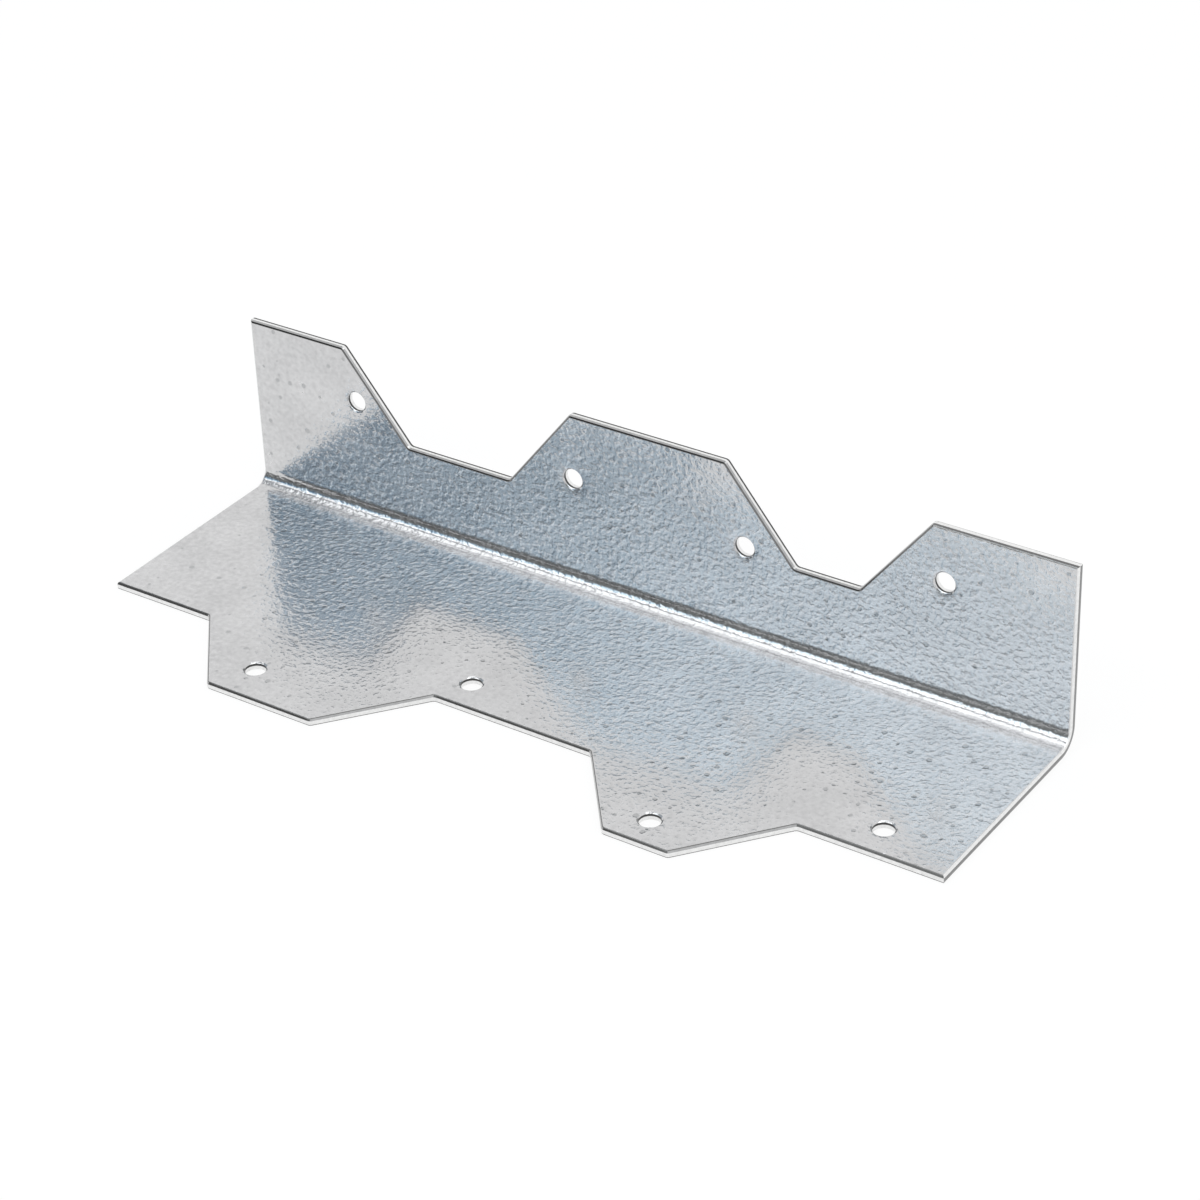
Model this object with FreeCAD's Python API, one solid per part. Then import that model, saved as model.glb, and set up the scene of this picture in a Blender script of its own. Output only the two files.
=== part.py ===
import FreeCAD, Part
import os
from math import hypot, sqrt
from FreeCAD import Vector

# Driving dimensions in millimetres.
# The zigzag along the bend, from the left end: tabs of the upright and the notches between them.
# The same line cuts the base, where each notch becomes a tab.
left_tab_width = 22.4
left_notch_width = 23.4
middle_tab_width = 33.6
right_notch_width = 13.2
right_tab_width = 28.0
slope_run = 14.3            # length along the bend of each slanted side
zigzag_rise = 17.8          # from a tab's edge back to a notch's edge
corner_radius = 1.0         # rounding of the zigzag's corners

# The two legs and the bend between them.
upright_height = 37.0       # underside to the top of the upright's tabs
base_depth = 64.0           # back face to the front of the base's tabs
sheet_thickness = 1.45      # 16 gauge, zinc coat included
bend_inner_radius = 3.0
edge_roll_radius = 0.3      # rounding of the cut edges on the side where the press came in

# Nail holes. An offset runs along the bend, to the right of the zigzag corner it is measured from.
# A drop or setback is the distance in from the edge of the tab or notch.
nail_hole_diameter = 4.2
nail_hole_rim = 0.3         # how far the punch drew the rim in, on the inside of the angle
upright_end_hole_drop = 11.1
upright_left_hole_offset = 2.4
upright_right_hole_offset = 2.7
upright_inner_left_hole_offset = 0.3
upright_inner_left_hole_drop = 13.4
upright_inner_right_hole_offset = 3.8
upright_inner_right_hole_drop = 16.5
base_left_tab_hole_offset = 4.8
base_left_tab_hole_setback = 8.0
base_right_tab_hole_offset = 5.8
base_right_tab_hole_setback = 6.1
base_notch_hole_setback = 6.5
base_middle_notch_hole_offset = 3.6
base_right_notch_hole_offset = 13.0

# Worked out from the sizes above: the zigzag's corners, in order from the left end.
stretches = [left_tab_width, slope_run, left_notch_width, slope_run, middle_tab_width,
             slope_run, right_notch_width, slope_run, right_tab_width]
angle_length = sum(stretches)
x_left = -angle_length / 2
x_corners = [x_left + sum(stretches[:count]) for count in range(len(stretches) + 1)]
y_back = base_depth / 2
upright_low_height = upright_height - zigzag_rise
base_low_depth = base_depth - zigzag_rise
bend_outer_radius = bend_inner_radius + sheet_thickness
tolerance = 1e-6
points_per_edge = 5         # looked at to tell where an edge lies


def arc(start, middle, end):
    return Part.Arc(start, middle, end).toShape()


def bent_strip():
    # The L section of the bent sheet, drawn in the YZ plane and run the whole length.
    def at(inward, up):
        return Vector(x_left, y_back - inward, up)

    thick = sheet_thickness
    bend = bend_outer_radius
    outer_mid = bend * (1 - 1 / sqrt(2))
    inner_mid = thick + bend_inner_radius * (1 - 1 / sqrt(2))
    outline = [
        Part.makeLine(at(base_depth, 0), at(bend, 0)),
        arc(at(bend, 0), at(outer_mid, outer_mid), at(0, bend)),
        Part.makeLine(at(0, bend), at(0, upright_height)),
        Part.makeLine(at(0, upright_height), at(thick, upright_height)),
        Part.makeLine(at(thick, upright_height), at(thick, bend)),
        arc(at(thick, bend), at(inner_mid, inner_mid), at(bend, thick)),
        Part.makeLine(at(bend, thick), at(base_depth, thick)),
        Part.makeLine(at(base_depth, thick), at(base_depth, 0)),
    ]
    section = Part.Face(Part.Wire(outline))
    return section.extrude(Vector(angle_length, 0, 0))


def zigzag_levels(tab_level, notch_level):
    # One level for each corner: two for a tab, two for a notch, and so on to the right end.
    pattern = [tab_level, tab_level, notch_level, notch_level]
    return [pattern[number % len(pattern)] for number in range(len(x_corners))]


def zigzag_blank(place, levels, through):
    # A thick plate under the zigzag line, with the line's own corners rounded.
    line = [place(x, level) for x, level in zip(x_corners, levels)]
    ends = [place(x_corners[-1], 0), place(x_corners[0], 0)]
    plate = Part.Face(Part.makePolygon(line + ends + line[:1])).extrude(through)
    corners = []
    for edge in plate.Edges:
        first, last = edge.Vertexes[0].Point, edge.Vertexes[-1].Point
        runs_through = (last - first).cross(through).Length < tolerance
        if runs_through and any(end.isEqual(p, tolerance) for p in line[1:-1] for end in (first, last)):
            corners.append(edge)
    return plate.makeFillet(corner_radius, corners)


def upright_blank():
    levels = zigzag_levels(upright_height, upright_low_height)
    return zigzag_blank(lambda x, z: Vector(x, -y_back, z), levels, Vector(0, base_depth, 0))


def base_blank():
    levels = zigzag_levels(base_low_depth, base_depth)
    return zigzag_blank(lambda x, depth: Vector(x, y_back - depth, 0), levels, Vector(0, 0, upright_height))


def upright_holes():
    # Each hole goes square through the upright, at its place along the bend and its height.
    end_height = upright_height - upright_end_hole_drop
    places = [
        (x_corners[1] + upright_left_hole_offset, end_height),
        (x_corners[4] + upright_inner_left_hole_offset, upright_height - upright_inner_left_hole_drop),
        (x_corners[5] + upright_inner_right_hole_offset, upright_height - upright_inner_right_hole_drop),
        (x_corners[8] + upright_right_hole_offset, end_height),
    ]
    y_front = y_back - sheet_thickness
    return [punch(Vector(x, y_front, z), Vector(0, 1, 0)) for x, z in places]


def base_holes():
    # Each hole goes square through the base, at its place along the bend and its depth from the back.
    notch_depth = base_low_depth - base_notch_hole_setback
    places = [
        (x_corners[2] + base_left_tab_hole_offset, base_depth - base_left_tab_hole_setback),
        (x_corners[4] + base_middle_notch_hole_offset, notch_depth),
        (x_corners[6] + base_right_tab_hole_offset, base_depth - base_right_tab_hole_setback),
        (x_corners[8] + base_right_notch_hole_offset, notch_depth),
    ]
    return [punch(Vector(x, y_back - depth, sheet_thickness), Vector(0, 0, -1)) for x, depth in places]


def punch(entry, direction):
    # A punch that comes in from the inside of the angle, with a flare for the drawn-in rim.
    radius = nail_hole_diameter / 2
    shank = Part.makeCylinder(radius, 2 * sheet_thickness, entry, direction)
    above = entry - direction * nail_hole_rim
    flare = Part.makeCone(radius + 2 * nail_hole_rim, radius, 2 * nail_hole_rim, above, direction)
    return shank.fuse(flare)


def on_inner_skin(point):
    # True on the base's top, the inside of the bend and the upright's front.
    inward = y_back - point.y
    if inward > bend_outer_radius:
        return abs(point.z - sheet_thickness) < tolerance
    if point.z > bend_outer_radius:
        return abs(inward - sheet_thickness) < tolerance
    from_bend_centre = hypot(bend_outer_radius - inward, bend_outer_radius - point.z)
    return abs(from_bend_centre - bend_inner_radius) < tolerance


def is_bend_line(points):
    # True on the two lines where the bend runs out into a flat leg.
    on_base = all(abs(y_back - point.y - bend_outer_radius) < tolerance for point in points)
    on_upright = all(abs(point.z - bend_outer_radius) < tolerance for point in points)
    return on_base or on_upright


def rolled_edges(sheet):
    # The cut edges on the inside of the angle.
    edges = []
    for edge in sheet.Edges:
        points = edge.discretize(points_per_edge)
        if all(on_inner_skin(point) for point in points) and not is_bend_line(points):
            edges.append(edge)
    return edges


def reinforcing_angle():
    sheet = bent_strip().common(upright_blank()).common(base_blank()).removeSplitter().Solids[0]
    sheet = sheet.makeFillet(edge_roll_radius, rolled_edges(sheet))
    return sheet.cut(upright_holes() + base_holes())


os.makedirs("parts", exist_ok=True)
angle = reinforcing_angle()
solid = angle.Solids[0]
solid.exportStep("parts/reinforcing_angle.step")
print("solids", len(angle.Solids), "valid", solid.isValid(), "volume", round(solid.Volume, 1))
print("box", solid.optimalBoundingBox())
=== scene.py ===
import math

import bpy
import numpy as np
from mathutils import Matrix, Vector, geometry, noise


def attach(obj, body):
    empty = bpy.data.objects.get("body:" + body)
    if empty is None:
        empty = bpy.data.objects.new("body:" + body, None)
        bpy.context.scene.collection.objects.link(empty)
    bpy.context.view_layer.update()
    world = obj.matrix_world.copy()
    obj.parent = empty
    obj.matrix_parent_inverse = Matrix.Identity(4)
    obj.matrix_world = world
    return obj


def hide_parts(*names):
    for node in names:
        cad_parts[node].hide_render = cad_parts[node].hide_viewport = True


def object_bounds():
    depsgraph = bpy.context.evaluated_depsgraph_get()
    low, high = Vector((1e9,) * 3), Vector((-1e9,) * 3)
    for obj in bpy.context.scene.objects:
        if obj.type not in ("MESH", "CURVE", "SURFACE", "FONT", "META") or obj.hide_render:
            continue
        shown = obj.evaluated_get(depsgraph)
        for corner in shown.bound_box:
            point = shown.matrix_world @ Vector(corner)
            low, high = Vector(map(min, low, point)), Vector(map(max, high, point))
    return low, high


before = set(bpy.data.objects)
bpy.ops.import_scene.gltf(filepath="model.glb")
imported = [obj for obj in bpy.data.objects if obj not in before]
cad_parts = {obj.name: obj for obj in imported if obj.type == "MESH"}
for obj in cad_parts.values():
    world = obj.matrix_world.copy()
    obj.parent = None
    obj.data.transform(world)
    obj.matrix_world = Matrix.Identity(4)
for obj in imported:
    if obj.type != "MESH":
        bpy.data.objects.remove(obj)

cadLow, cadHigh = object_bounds()
scene = bpy.context.scene
scene.view_settings.view_transform = "Standard"
mm = 0.001
print("frame loaded, box", [round(v, 4) for v in cadLow], [round(v, 4) for v in cadHigh])


# the folded sheet, all sizes in millimetres in the frame's own axes
sheet = {
    "thickness": 1.45,
    "bendRadius": 3.0,              # inside of the bend
    "zigzagX": [-88.9, -66.5, -52.2, -28.8, -14.5, 19.1, 33.4, 46.6, 60.9, 88.9],
    "rise": 17.8,                   # from a tab's edge back to a notch's edge
    "cornerRadius": 1.0,
    "cornerSteps": 6,
    "uprightHoles": [(-64.1, 25.9), (-14.2, 23.6), (22.9, 20.5), (63.6, 25.9)],    # x, z
    "baseHoles": [(-47.4, -24.0), (-10.9, -7.7), (39.2, -25.9), (73.9, -7.7)],     # x, y
    "holeRadius": 2.0,
    "holePoints": 44,
    "holeRoll": [0.30, 0.25],       # width and depth of a hole's drawn-in rim
    "holeRollCurve": 1.5,
    "holeDarkAndShaded": 0.75,               # how far down a hole's wall it is dark, partly bare steel and partly painted shade
    "rollWidth": 0.34,              # die roll, where the press drew the face down
    "rollDepth": 0.13,
    "rollCurve": 1.25,
    "rollSteps": 4,
    "rollTurn": 0.5,                # share of the roll where its finish changes
    "draftWidth": 0.16,             # smooth part of the cut, sheared at a draft
    "draftDepth": 0.37,
    "burr": [0.45, 0.16],           # lip that is left on the outer side, leaning back in two steps
    "burrLean": 0.06,
    "step": 2.0,                    # spacing of the sheet's points
    "edgeGap": 0.9,                 # their distance from the cut edge, under the corner radius
    "weld": 0.00001,                # points nearer than this are one
    "endReach": 0.01,               # points this near to a sheared end are on it
    "bendSteps": 24,
    "pressedFade": 1.2,             # how far past the bend the die pressed the zinc
    "dishRings": [0.6, 1.0, 1.7],   # rings round each hole where the sheet dips in
    "dishPoints": 28,
    "dishDepth": 0.08,
    "dishFade": 0.7,
    "waveHeight": 0.045,            # slow waves left by the rolling mill
    "waveLength": 34.0,
    "waveSlice": 3.7,               # where the noise is sliced for them
    "fineWave": [0.4, 2.3],         # share and frequency of the finer waves
    "sharpAngle": 12,               # degrees, a sharper edge isn't smoothed over
}

# the finish of each part of the cut edge, where it isn't the part's own; set region by region, it paints
# light and shade on the edge: dark lips on rolls are partly painted shade, pale finishes on rolls are
# painted glints, and dark outer rims are painted contact shadow
edgeFinishAndPaintedLight = {
    # base: the dark second half of the roll is partly painted shade, the dark rim a painted contact shadow
    "base": {"rollStart": "sheet", "rollEnd": "lip", "burr": "torn", "rim": "lip"},
    # upright: the dark roll is partly painted shade, the dark burr and rim a painted contact shadow
    "upright": {"rollStart": "lip", "rollEnd": "lip", "burr": "dull", "rim": "dull"},
    # right tab: pale roll as a painted glint, dark burnish as a painted dark line
    "rightTab": {"rollStart": "sheet", "rollEnd": "torn", "burnish": "lip",
                 "burr": "torn", "rim": "burnish"},
    # sheared ends: pale roll as a painted glint, dark outer part as painted shade
    "ends": {"rollStart": "sheet", "rollEnd": "torn", "burnish": "torn",
             "torn": "lip", "burr": "lip", "rim": "lip"},
}

length = (cadHigh[0] - cadLow[0]) / mm
yFront, yBack, zTop = cadLow[1] / mm, cadHigh[1] / mm, cadHigh[2] / mm
bendLength = sheet["bendRadius"] * math.pi / 2
bendOuter = sheet["bendRadius"] + sheet["thickness"]
bendLines = [bendLength * k / sheet["bendSteps"] for k in range(sheet["bendSteps"] + 1)]
rightTabX = sheet["zigzagX"][-2]


# distance across the flattened inner face, 0 where the base meets the bend
def flatS(y=None, z=None):
    if z is None:
        return y - (yBack - bendOuter)
    return bendLength + z - bendOuter


def bend(x, s, depth):              # a point of the flat sheet, folded into place
    radius = sheet["bendRadius"]
    if s <= 0:
        return Vector((x, yBack - bendOuter + s, sheet["thickness"] - depth)) * mm
    if s >= bendLength:
        return Vector((x, yBack - sheet["thickness"] + depth, bendOuter + s - bendLength)) * mm
    turn = s / radius
    reach = radius + depth
    return Vector((x, yBack - bendOuter + reach * math.sin(turn), bendOuter - reach * math.cos(turn))) * mm


def roundCorner(before, corner, after):
    toBefore, toAfter = (before - corner).normalized(), (after - corner).normalized()
    half = toBefore.angle(toAfter) / 2
    radius, count = sheet["cornerRadius"], sheet["cornerSteps"]
    centre = corner + (toBefore + toAfter).normalized() * radius / math.sin(half)
    start = corner + toBefore * radius / math.tan(half) - centre
    end = corner + toAfter * radius / math.tan(half) - centre
    swing = math.atan2(start.cross(end), start.dot(end))
    return [centre + Matrix.Rotation(swing * k / count, 2) @ start for k in range(count + 1)]


def stepAlong(start, end):          # points from start up to, but not at, end
    count = max(1, round((end - start).length / sheet["step"]))
    return [start + (end - start) * (k / count) for k in range(count)]


def zigzagLine(tabLevel, notchLevel):
    pattern = (tabLevel, tabLevel, notchLevel, notchLevel)
    levels = [pattern[k % len(pattern)] for k in range(len(sheet["zigzagX"]))]
    knots = [Vector(pair) for pair in zip(sheet["zigzagX"], levels)]
    line, last = [], knots[0]
    for before, corner, after in zip(knots, knots[1:], knots[2:]):
        arc = roundCorner(before, corner, after)
        line += stepAlong(last, arc[0]) + arc[:-1]
        last = arc[-1]
    return line + stepAlong(last, knots[-1]) + [knots[-1]]


def endLine(x, low, high):          # points up one sheared end, on the bend's own lines where it curves
    below = stepAlong(Vector((x, low)), Vector((x, 0)))[1:]
    above = stepAlong(Vector((x, high)), Vector((x, bendLength)))[1:]
    return below + [Vector((x, s)) for s in bendLines] + above[::-1]


def outlineLoop():
    rise = sheet["rise"]
    baseLine = zigzagLine(flatS(y=yFront + rise), flatS(y=yFront))
    topLine = zigzagLine(flatS(z=zTop), flatS(z=zTop - rise))
    rightEnd = endLine(topLine[-1].x, baseLine[-1].y, topLine[-1].y)
    leftEnd = endLine(topLine[0].x, baseLine[0].y, topLine[0].y)
    return baseLine + rightEnd + topLine[::-1] + leftEnd[::-1]


def holeCentres():
    centres = [Vector((x, flatS(z=z))) for x, z in sheet["uprightHoles"]]
    return centres + [Vector((x, flatS(y=y))) for x, y in sheet["baseHoles"]]


def ring(centre, radius, count):    # clockwise, so that the metal is on its left
    turns = [-2 * math.pi * k / count for k in range(count)]
    return [centre + Vector((math.cos(a), math.sin(a))) * radius for a in turns]


def inset(loop, distance):          # the loop moved into the metal
    moved = []
    for before, here, after in zip(loop[-1:] + loop[:-1], loop, loop[1:] + loop[:1]):
        first, second = (here - before).normalized(), (after - here).normalized()
        n1, n2 = Vector((-first.y, first.x)), Vector((-second.y, second.x))
        moved.append(here + (n1 + n2) * distance / (1 + n1.dot(n2)))
    return moved


def insideLoop(points, loop):       # even and odd crossings, for all points at once
    px, py = points[:, 0], points[:, 1]
    inside = np.zeros(len(points), bool)
    for a, b in zip(loop, loop[1:] + loop[:1]):
        if a.y == b.y:
            continue
        crosses = (a.y > py) != (b.y > py)
        inside ^= crosses & (px < (b.x - a.x) * (py - a.y) / (b.y - a.y) + a.x)
    return inside


def sheetPoints(outline, centres):  # points inside the sheet, finer across the bend and round the holes
    low, high = flatS(y=yFront), flatS(z=zTop)
    step = sheet["step"]
    rows = list(np.arange(low + step / 2, -step / 3, step)) + bendLines
    rows += list(np.arange(bendLength + step / 2, high, step))
    across = np.arange(-length / 2 + step / 2, length / 2, step)
    grid = np.array([(x, s) for s in rows for x in across])
    keep = insideLoop(grid, inset(outline, sheet["edgeGap"]))
    clear = sheet["holeRadius"] + sheet["dishRings"][-1] + step / 3
    for centre in centres:
        keep &= np.hypot(grid[:, 0] - centre.x, grid[:, 1] - centre.y) > clear
    points = [Vector(p) for p in grid[keep]]
    for centre in centres:
        for gap in sheet["dishRings"]:
            points += ring(centre, sheet["holeRadius"] + gap, sheet["dishPoints"])
    return points


def fillLoops(loops, points):       # triangles between the outline and the holes
    coords = [p for loop in loops for p in loop] + points
    edges, first = [], 0
    for loop in loops:
        edges += [(first + k, first + (k + 1) % len(loop)) for k in range(len(loop))]
        first += len(loop)
    spots, _, faces, _, _, _ = geometry.delaunay_2d_cdt(coords, edges, [], 0, sheet["weld"])
    middles = np.array([sum((spots[i] for i in face), Vector((0, 0))) / len(face) for face in faces])
    keep = insideLoop(middles, loops[0])
    for loop in loops[1:]:
        keep &= ~insideLoop(middles, loop)
    return spots, [face for face, kept in zip(faces, keep) if kept]


def wave(p):                        # always inwards, so the outer faces stay inside the frame's box
    across = Vector((p.x / sheet["waveLength"], p.y / sheet["waveLength"], sheet["waveSlice"]))
    fineShare, fineCount = sheet["fineWave"]
    swell = noise.noise(across) + fineShare * noise.noise(across * fineCount)
    return sheet["waveHeight"] * max(0.0, 1 + swell)


def dish(p, centres):               # how far the punch drew the sheet in round a hole
    gap = min((p - centre).length for centre in centres) - sheet["holeRadius"]
    return sheet["dishDepth"] * math.exp(-max(gap, 0) / sheet["dishFade"])


def edgeRows():                     # inset, depth and part of each row of points down the cut edge
    rows = []
    for step in range(1, sheet["rollSteps"] + 1):
        u = step / sheet["rollSteps"]
        part = "rollStart" if u <= sheet["rollTurn"] else "rollEnd"
        insetBy = sheet["draftWidth"] + sheet["rollWidth"] * (1 - u)
        rows.append((insetBy, sheet["rollDepth"] * u ** sheet["rollCurve"], part))
    rows.append((0.0, sheet["rollDepth"] + sheet["draftDepth"], "burnish"))
    rows.append((0.0, sheet["thickness"] - sheet["burr"][0], "torn"))
    rows.append((sheet["burrLean"] / 2, sheet["thickness"] - sheet["burr"][1], "burr"))
    rows.append((sheet["burrLean"], sheet["thickness"], "rim"))
    return rows


def holeRows():                     # the same for a hole's wall
    width, depth = sheet["holeRoll"]
    rows = []
    for step in range(1, sheet["rollSteps"] + 1):
        u = step / sheet["rollSteps"]
        rows.append((width * (1 - u), depth * u ** sheet["holeRollCurve"], "sheet"))
    # the dark upper wall of a hole is partly painted shade
    rows.append((0.0, sheet["holeDarkAndShaded"], "dull"))
    rows.append((0.0, sheet["thickness"], "torn"))
    return rows


def finishAndPaintedLightAt(here, after, part):    # by where this bit of the cut edge is, which also picks the painted glints and painted shade of that region
    if min(abs(here.x), abs(after.x)) > length / 2 - sheet["endReach"]:
        side = "ends"
    elif here.y <= 0:
        side = "base"
    else:
        side = "rightTab" if min(here.x, after.x) > rightTabX else "upright"
    return edgeFinishAndPaintedLight[side].get(part, part)


def sheetObject(verts, faces, slotOf, pressedAt, flatAt):
    mesh = bpy.data.meshes.new("angle_sheet")
    mesh.from_pydata(verts, [], faces)
    mesh.validate()
    mesh.polygons.foreach_set("material_index", slotOf)
    pressed = mesh.attributes.new("pressed", "FLOAT", "POINT")
    pressed.data.foreach_set("value", pressedAt)
    flat = mesh.attributes.new("flat", "FLOAT_VECTOR", "POINT")     # the point before the sheet was bent
    flat.data.foreach_set("vector", flatAt)
    mesh.polygons.foreach_set("use_smooth", [True] * len(faces))
    mesh.set_sharp_from_angle(angle=math.radians(sheet["sharpAngle"]))
    mesh.update()
    piece = bpy.data.objects.new("angle_sheet", mesh)
    scene.collection.objects.link(piece)
    weigh = piece.modifiers.new("even shading", "WEIGHTED_NORMAL")
    weigh.keep_sharp = True
    print("sheet built,", len(verts), "points,", len(faces), "faces")
    return piece


def buildSheet():
    centres = holeCentres()
    cutLoops = [outlineLoop()] + [ring(c, sheet["holeRadius"], sheet["holePoints"]) for c in centres]
    points = sheetPoints(cutLoops[0], centres)
    slots = ["sheet"] + list(cutLook)
    sections = [edgeRows()] + [holeRows()] * len(centres)
    verts, faces, slotOf, pressedAt, flatAt = [], [], [], [], []

    def place(p, depth):            # adds a point and returns its number
        verts.append(bend(p.x, p.y, depth - wave(p)))
        beyond = max(-p.y, p.y - bendLength, 0)
        pressedAt.append(max(0.0, 1 - beyond / sheet["pressedFade"]))
        flatAt.extend((p.x * mm, p.y * mm, depth * mm))
        return len(verts) - 1

    def cap(insets, depth, flip):   # one broad face of the sheet; returns the point numbers of each loop
        loops = [inset(loop, insetBy) for loop, insetBy in zip(cutLoops, insets)]
        spots, triangles = fillLoops(loops, points)
        numbers = [place(p, depth + (0.0 if flip else dish(p, centres))) for p in spots]
        for face in triangles:
            corners = [numbers[i] for i in face]
            faces.append(corners[::-1] if flip else corners)
            slotOf.append(0)
        rims, first = [], 0
        for loop in loops:
            rims.append(numbers[first:first + len(loop)])
            first += len(loop)
        return rims

    roll = sheet["rollWidth"] + sheet["draftWidth"]
    innerRims = cap([roll] + [sheet["holeRoll"][0]] * len(centres), 0.0, False)
    outerRims = cap([rows[-1][0] for rows in sections], sheet["thickness"], True)
    for loop, rows, innerRim, outerRim in zip(cutLoops, sections, innerRims, outerRims):
        upper = innerRim
        drawn = dish(loop[0], centres)
        for number, (insetBy, depth, part) in enumerate(rows):
            isLast = number == len(rows) - 1
            share = max(0.0, 1 - depth / (sheet["rollDepth"] + sheet["draftDepth"]))
            lower = outerRim if isLast else [place(p, depth + drawn * share) for p in inset(loop, insetBy)]
            for k in range(len(loop)):
                after = (k + 1) % len(loop)
                faces.append([upper[after], upper[k], lower[k], lower[after]])
                slotOf.append(slots.index(finishAndPaintedLightAt(loop[k], loop[after], part)))
            upper = lower
    return sheetObject(verts, faces, slotOf, pressedAt, flatAt)


def addNode(tree, kind, **values):
    node = tree.nodes.new(kind)
    for name, value in values.items():
        if name in node.inputs:
            node.inputs[name].default_value = value
        else:
            setattr(node, name, value)
    return node


def newMaterial(name):
    material = bpy.data.materials.new(name)
    material.use_nodes = True
    tree = material.node_tree
    return material, tree, tree.nodes["Principled BSDF"]


def mapRange(tree, value, fromLow, fromHigh, toLow=0.0, toHigh=1.0, smooth=False):
    node = addNode(tree, "ShaderNodeMapRange")
    if smooth:
        node.interpolation_type = "SMOOTHSTEP"
    names = ("From Min", "From Max", "To Min", "To Max")
    for name, number in zip(names, (fromLow, fromHigh, toLow, toHigh)):
        node.inputs[name].default_value = number
    tree.links.new(value, node.inputs["Value"])
    return node.outputs["Result"]


def mathNode(tree, operation, first, second):
    node = addNode(tree, "ShaderNodeMath", operation=operation)
    for socket, value in zip(node.inputs, (first, second)):
        if isinstance(value, (int, float)):
            socket.default_value = value
        else:
            tree.links.new(value, socket)
    return node.outputs["Value"]


def mixColour(tree, share, first, second):
    node = addNode(tree, "ShaderNodeMix", data_type="RGBA")
    tree.links.new(share, node.inputs[0])
    for socket, value in zip((node.inputs[6], node.inputs[7]), (first, second)):    # the colour sockets
        if isinstance(value, tuple):
            socket.default_value = value
        else:
            tree.links.new(value, socket)
    return node.outputs[2]


# bright mill-galvanized zinc: a soft mirror with a fine grain, a slow ripple and a few pits, whose darker
# tint is painted shade
zincLook = {
    "dark": (0.545, 0.545, 0.55, 1),
    "light": (0.685, 0.685, 0.69, 1),
    "metal": 0.95,                  # the rest scatters, as crystallised zinc does
    "roughLow": 0.11,
    "roughHigh": 0.17,
    "cloudScale": 70.0,             # broad patches of a slightly other shade and gloss
    "cloudDetail": 3.0,
    "cloudGloss": [0.3, 0.7],       # the patches' range that the gloss follows
    "mottle": [0.45, 0.55],         # how much patches and grain shade the colour
    "mottleRange": [0.35, 0.65],
    "noiseRough": 0.55,
    "grainScale": 950.0,            # grains in a metre
    "grainDetail": 1.2,
    "grainFrom": 0.02,              # the zinc is flat while the noise is this near its middle
    "grainTo": 0.20,                # and a grain or a dimple is full here
    "grainHeight": 0.000023,
    "grainRough": 0.12,             # a grain is frosted by this much more than the flat zinc
    "dimpleShare": 0.8,             # a dimple's depth against a grain's height
    "rippleScale": 330.0,
    "rippleDetail": 1.0,
    "rippleHeight": 0.00002,
    "pressedGrain": 0.9,            # what the bending die left of the grain
    "pitScale": 300.0,
    "pitShare": 0.28,               # how many of the possible pits are there
    "pitPressed": 0.5,              # where it is pressed more than this there are none
    "pitSize": 0.2,                 # against the spacing of the pits
    "pitLeast": 0.5,                # the smallest against the largest
    "pitSlope": 0.08,
    "pitRagged": 0.0004,
    "pitRaggedScale": 1235.0,
    "pitDepth": 0.00003,
    # darker colour of the pits: painted shade
    "pitShadeTint": (0.46, 0.465, 0.47, 1),
}


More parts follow.
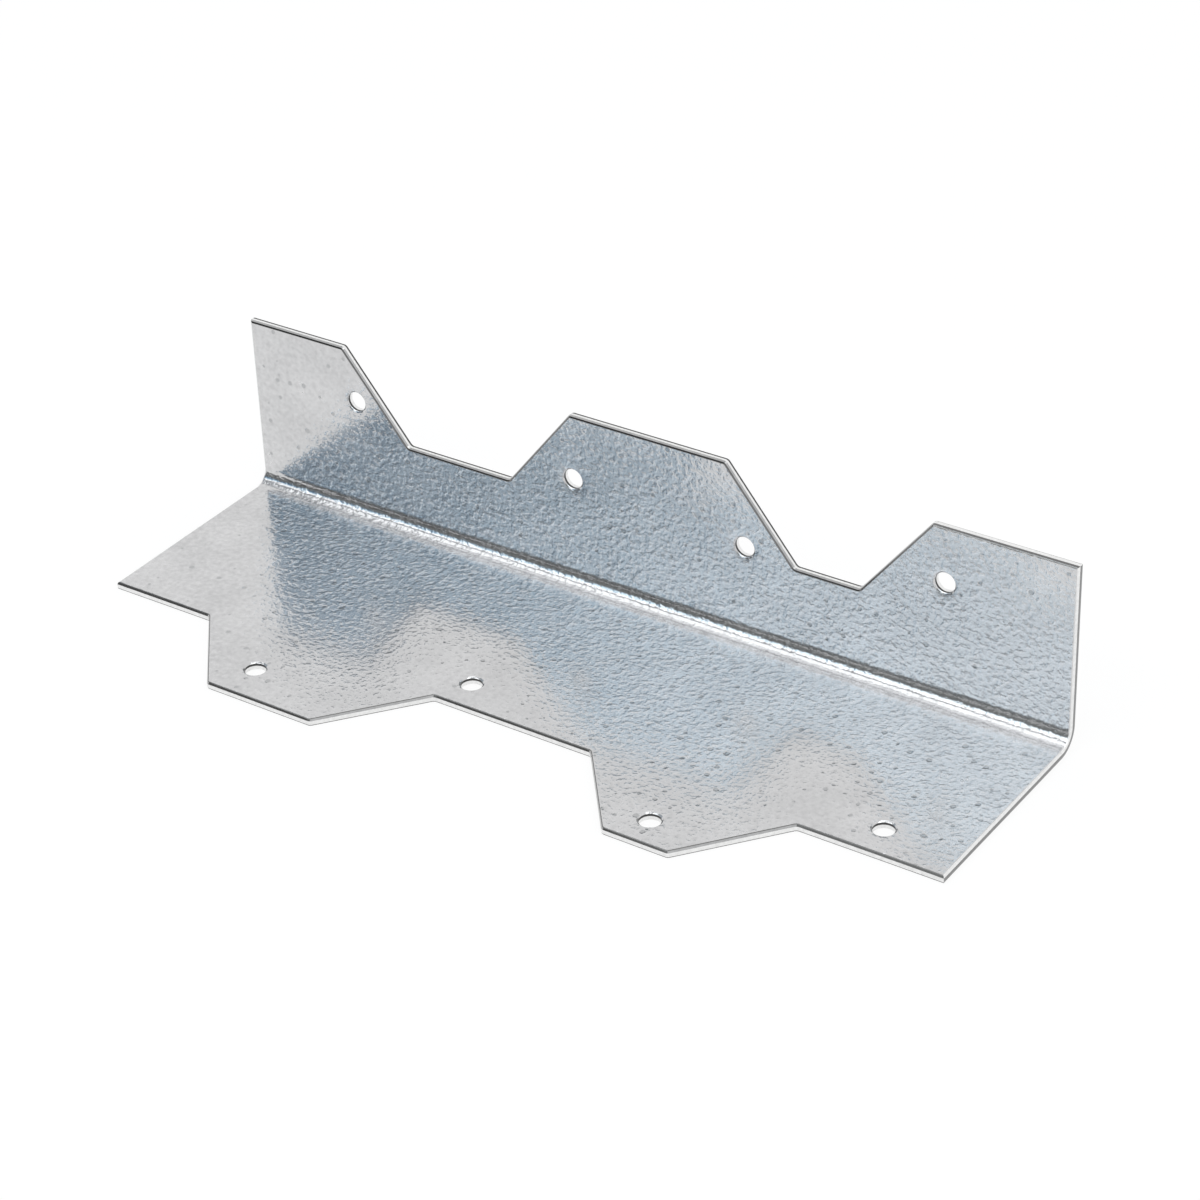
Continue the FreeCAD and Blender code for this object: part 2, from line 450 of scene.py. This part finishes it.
def zincMaterial():
    material, tree, shader = newMaterial("galvanizedZinc")
    link = tree.links.new
    shader.inputs["Metallic"].default_value = zincLook["metal"]
    place = addNode(tree, "ShaderNodeAttribute", attribute_name="flat").outputs["Vector"]
    pressed = addNode(tree, "ShaderNodeAttribute", attribute_name="pressed").outputs["Fac"]

    def speckle(scale, detail):
        texture = addNode(tree, "ShaderNodeTexNoise", Scale=scale, Detail=detail,
                          Roughness=zincLook["noiseRough"])
        link(place, texture.inputs["Vector"])
        return texture.outputs["Fac"]

    cloud = speckle(zincLook["cloudScale"], zincLook["cloudDetail"])
    grain = speckle(zincLook["grainScale"], zincLook["grainDetail"])
    ripple = speckle(zincLook["rippleScale"], zincLook["rippleDetail"])

    # pits: some of the cells, each with a ragged rim and its own size
    ragged = addNode(tree, "ShaderNodeTexNoise", Scale=zincLook["pitRaggedScale"], Detail=1.0)
    link(place, ragged.inputs["Vector"])
    shifted = addNode(tree, "ShaderNodeVectorMath", operation="MULTIPLY_ADD")
    link(ragged.outputs["Color"], shifted.inputs[0])
    shifted.inputs[1].default_value = [zincLook["pitRagged"]] * 3
    link(place, shifted.inputs[2])
    cells = addNode(tree, "ShaderNodeTexVoronoi", voronoi_dimensions="2D", Scale=zincLook["pitScale"])
    link(shifted.outputs["Vector"], cells.inputs["Vector"])
    chance = addNode(tree, "ShaderNodeSeparateColor")
    link(cells.outputs["Color"], chance.inputs["Color"])
    likely = mapRange(tree, pressed, 0, zincLook["pitPressed"], zincLook["pitShare"], 0)
    present = mathNode(tree, "LESS_THAN", chance.outputs["Red"], likely)
    least = zincLook["pitLeast"] * zincLook["pitSize"]
    reach = mapRange(tree, chance.outputs["Green"], 0, 1, least, zincLook["pitSize"])
    nearness = mathNode(tree, "SUBTRACT", reach, cells.outputs["Distance"])
    hollow = mapRange(tree, nearness, 0.0, zincLook["pitSlope"], smooth=True)
    pit = mathNode(tree, "MULTIPLY", hollow, present)

    # colour
    cloudShare, grainShare = zincLook["mottle"]
    cloudShade = mathNode(tree, "MULTIPLY", cloud, cloudShare)
    mottle = mathNode(tree, "ADD", cloudShade, mathNode(tree, "MULTIPLY", grain, grainShare))
    shade = mapRange(tree, mottle, *zincLook["mottleRange"])
    metal = mixColour(tree, shade, zincLook["dark"], zincLook["light"])
    # pits tinted darker: painted shade in the dimples
    link(mixColour(tree, pit, metal, zincLook["pitShadeTint"]), shader.inputs["Base Color"])

    # grains stand out and dimples sink in, both a little less where the die pressed
    middle = 0.5                    # of the noise
    flatTo, fullAt = zincLook["grainFrom"], zincLook["grainTo"]
    left = mapRange(tree, pressed, 0, 1, 1, zincLook["pressedGrain"])
    above = mapRange(tree, grain, middle + flatTo, middle + fullAt, smooth=True)
    below = mapRange(tree, grain, middle - flatTo, middle - fullAt, smooth=True)
    raised = mathNode(tree, "MULTIPLY", left, above)
    sunk = mathNode(tree, "MULTIPLY", left, below)
    bumps = mathNode(tree, "SUBTRACT", raised, mathNode(tree, "MULTIPLY", sunk, zincLook["dimpleShare"]))
    gloss = mapRange(tree, cloud, *zincLook["cloudGloss"], zincLook["roughLow"], zincLook["roughHigh"])
    frost = mathNode(tree, "MULTIPLY", raised, zincLook["grainRough"])
    link(mathNode(tree, "ADD", gloss, frost), shader.inputs["Roughness"])

    normal = None
    for height, distance in ((ripple, zincLook["rippleHeight"]), (bumps, zincLook["grainHeight"]),
                             (pit, -zincLook["pitDepth"])):
        bump = addNode(tree, "ShaderNodeBump", Strength=1.0, Distance=abs(distance), invert=distance < 0)
        link(height, bump.inputs["Height"])
        if normal:
            link(normal, bump.inputs["Normal"])
        normal = bump.outputs["Normal"]
    link(normal, shader.inputs["Normal"])
    return material


# the sheared edge: a smooth band under the roll, then torn steel, and darker lips and bores, whose dark
# colour is partly painted shade
cutLook = {
    "burnish": {"name": "burnishedCut", "colour": (0.46, 0.46, 0.46), "rough": 0.14,
                "streaks": 900.0, "height": 0.000006},
    "torn": {"name": "tornCut", "colour": (0.93, 0.93, 0.92), "rough": 0.38,
             "streaks": 1600.0, "height": 0.00003},
    # lip: partly zinc drawn thin, partly painted shade
    "lip": {"name": "lipWithPaintedShade", "colour": (0.20, 0.20, 0.20), "rough": 0.16,
            "streaks": 1200.0, "height": 0.000006},
    # bores and upright rims: partly bare steel, partly painted shade in the holes and painted contact
    # shadow under the edges
    "dull": {"name": "boreAndRimPaintedShade", "colour": (0.08, 0.08, 0.08), "rough": 0.4,
             "streaks": 1200.0, "height": 0.00002},
}
streakLook = {"detail": 3.0, "dark": 0.75, "light": 1.2}    # the shades are against the cut's colour


def cutMaterial(look):
    material, tree, shader = newMaterial(look["name"])
    link = tree.links.new
    shader.inputs["Metallic"].default_value = 1.0
    coord = addNode(tree, "ShaderNodeTexCoord")
    streak = addNode(tree, "ShaderNodeTexNoise", Scale=look["streaks"], Detail=streakLook["detail"])
    link(coord.outputs["Object"], streak.inputs["Vector"])
    tint = addNode(tree, "ShaderNodeValToRGB")
    for stop, shade in zip(tint.color_ramp.elements, (streakLook["dark"], streakLook["light"])):
        stop.color = [min(1, shade * c) for c in look["colour"]] + [1]
    link(streak.outputs["Fac"], tint.inputs["Fac"])
    link(tint.outputs["Color"], shader.inputs["Base Color"])
    shader.inputs["Roughness"].default_value = look["rough"]
    bump = addNode(tree, "ShaderNodeBump", Strength=1.0, Distance=look["height"])
    link(streak.outputs["Fac"], bump.inputs["Height"])
    link(bump.outputs["Normal"], shader.inputs["Normal"])
    return material


angle = buildSheet()
angle.data.materials.append(zincMaterial())
for cut in cutLook.values():
    angle.data.materials.append(cutMaterial(cut))
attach(angle, "root")
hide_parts("reinforcing_angle")
print("materials on")


# a wide pale floor that looks white to the camera and in the metal, and still takes the shadow
floorLook = {"size": 8.0, "colour": (0.96, 0.96, 0.96, 1), "drop": 0.00003, "glow": 0.88}


def buildFloor():
    half = floorLook["size"] / 2
    z = -floorLook["drop"]
    mesh = bpy.data.meshes.new("floor")
    corners = [(-half, -half, z), (half, -half, z), (half, half, z), (-half, half, z)]
    mesh.from_pydata(corners, [], [(0, 1, 2, 3)])
    floor = bpy.data.objects.new("floor", mesh)
    scene.collection.objects.link(floor)
    material, tree, shader = newMaterial("paleFloor")
    link = tree.links.new
    shader.inputs["Base Color"].default_value = floorLook["colour"]
    shader.inputs["Roughness"].default_value = 1.0
    shader.inputs["Specular IOR Level"].default_value = 0.0
    glow = addNode(tree, "ShaderNodeEmission", Strength=1.0)
    path = addNode(tree, "ShaderNodeLightPath")
    seen = mathNode(tree, "MAXIMUM", path.outputs["Is Camera Ray"], path.outputs["Is Glossy Ray"])
    seen = mathNode(tree, "MAXIMUM", seen, path.outputs["Is Transmission Ray"])
    mix = addNode(tree, "ShaderNodeMixShader")
    link(mathNode(tree, "MULTIPLY", seen, floorLook["glow"]), mix.inputs["Fac"])
    link(shader.outputs["BSDF"], mix.inputs[1])
    link(glow.outputs["Emission"], mix.inputs[2])
    link(mix.outputs["Shader"], tree.nodes["Material Output"].inputs["Surface"])
    mesh.materials.append(material)


# directions that a wall fills: an axis, and where along it the wall fades in and is full
inFront = ((0, -1, 0), 0.05, 0.30)
nearHorizon = ((0, 0, -1), -0.26, -0.14)

# soft studio: white walls behind and to the right, a cooler room in front, dark near the front horizon
studio = {
    "room": (0.01, 0.09, 0.20, 1),
    # each wall: its colour, then the directions that it fills; a later wall covers an earlier one
    "walls": {
        "front": ((0.70, 1.00, 1.26, 1), [inFront, ((0, 0.61, 0.79), 0.01, 0.07)]),
        "front left": ((1.16, 1.62, 1.95, 1), [inFront, ((1, 0, 0), -0.57, -0.46)]),
        "front right": ((1.92, 2.12, 2.26, 1), [inFront, ((1, 0, 0), -0.52, -0.40)]),
        "front high": ((1.32, 1.33, 1.34, 1), [inFront, ((0, 0.61, 0.79), 0.08, 0.16)]),
        "upper room": ((0.38, 0.40, 0.42, 1), [((0, 0.84, 0.545), -0.03, 0.04)]),
        "left": ((0.42, 0.47, 0.52, 1), [((-1, 0, 0), 0.66, 0.78)]),
        "front low": ((0.19, 0.20, 0.20, 1), [inFront, ((0, -0.61, -0.79), 0.02, 0.18)]),
        "horizon": ((0.11, 0.11, 0.11, 1), [inFront, nearHorizon]),
        "horizon right": ((0.34, 0.35, 0.35, 1), [inFront, nearHorizon, ((1, 0, 0), -0.52, -0.38)]),
        "right": ((0.95, 0.96, 0.97, 1), [((1, 0, 0), 0.20, 0.55)]),
        "back": ((0.99, 0.99, 0.99, 1), [((0, 1, 0), 0.02, 0.14)]),
    },
    # each softbox: how many degrees up from the front horizon it starts and ends, and its colour
    "softboxes": {
        "front": {"from": 49, "to": 56, "colour": (1.15, 1.18, 1.20)},
        "top": {"from": 67, "to": 92, "colour": (1.36, 1.37, 1.38)},
    },
    "boxMiddle": 0.1,               # along the bend, in metres
    "boxWidth": 2.0,
    "boxDistance": 1.2,
}


def buildWorld():
    world = bpy.data.worlds.new("studio")
    scene.world = world
    world.use_nodes = True
    tree = world.node_tree
    direction = addNode(tree, "ShaderNodeTexCoord").outputs["Generated"]

    def towards(axis, start, full):
        dot = addNode(tree, "ShaderNodeVectorMath", operation="DOT_PRODUCT")
        tree.links.new(direction, dot.inputs[0])
        dot.inputs[1].default_value = axis
        return mapRange(tree, dot.outputs["Value"], start, full, smooth=True)

    colour = studio["room"]
    for wallColour, spans in studio["walls"].values():
        share = towards(*spans[0])
        for span in spans[1:]:
            share = mathNode(tree, "MULTIPLY", share, towards(*span))
        colour = mixColour(tree, share, colour, wallColour)
    seen = addNode(tree, "ShaderNodeLightPath").outputs["Is Camera Ray"]
    tree.links.new(mixColour(tree, seen, colour, (1, 1, 1, 1)), tree.nodes["Background"].inputs["Color"])


def buildSoftboxes():
    for name, box in studio["softboxes"].items():
        low, high = math.radians(box["from"]), math.radians(box["to"])
        rise = (low + high) / 2
        lamp = bpy.data.lights.new(name, "AREA")
        lamp.shape = "RECTANGLE"
        lamp.size = studio["boxWidth"]
        lamp.size_y = 2 * studio["boxDistance"] * math.tan((high - low) / 2)
        brightness = max(box["colour"])
        lamp.color = [c / brightness for c in box["colour"]]
        lamp.energy = brightness * math.pi * lamp.size * lamp.size_y
        away = Vector((0, -math.cos(rise), math.sin(rise))) * studio["boxDistance"]
        holder = bpy.data.objects.new(name, lamp)
        holder.rotation_euler = (math.pi / 2 - rise, 0, 0)
        holder.location = away + Vector((studio["boxMiddle"], 0, 0))
        scene.collection.objects.link(holder)


# the photograph's view, found from the sheet's straight edges
view = {
    "eye": (0.2990, -0.4066, 0.3330),
    "aim": (0.00835, 0.00583, 0.0180),
    "roll": -2.25,                  # degrees
    "lens": 101.2,
    "sensor": 36,
    "nearest": 0.01,
}


def buildCamera():
    camera = bpy.data.cameras.new("photoView")
    camera.lens = view["lens"]
    camera.sensor_width = view["sensor"]
    camera.clip_start = view["nearest"]
    ahead = (Vector(view["aim"]) - Vector(view["eye"])).normalized()
    level = ahead.cross(Vector((0, 0, 1))).normalized()
    up = level.cross(ahead)
    roll = math.radians(view["roll"])
    right = level * math.cos(roll) + up * math.sin(roll)
    holder = bpy.data.objects.new("photoView", camera)
    turn = Matrix((right, right.cross(ahead), -ahead)).transposed()
    holder.matrix_world = Matrix.Translation(view["eye"]) @ turn.to_4x4()
    scene.collection.objects.link(holder)
    scene.camera = holder


buildFloor()
buildWorld()
buildSoftboxes()
buildCamera()
print("studio ready")
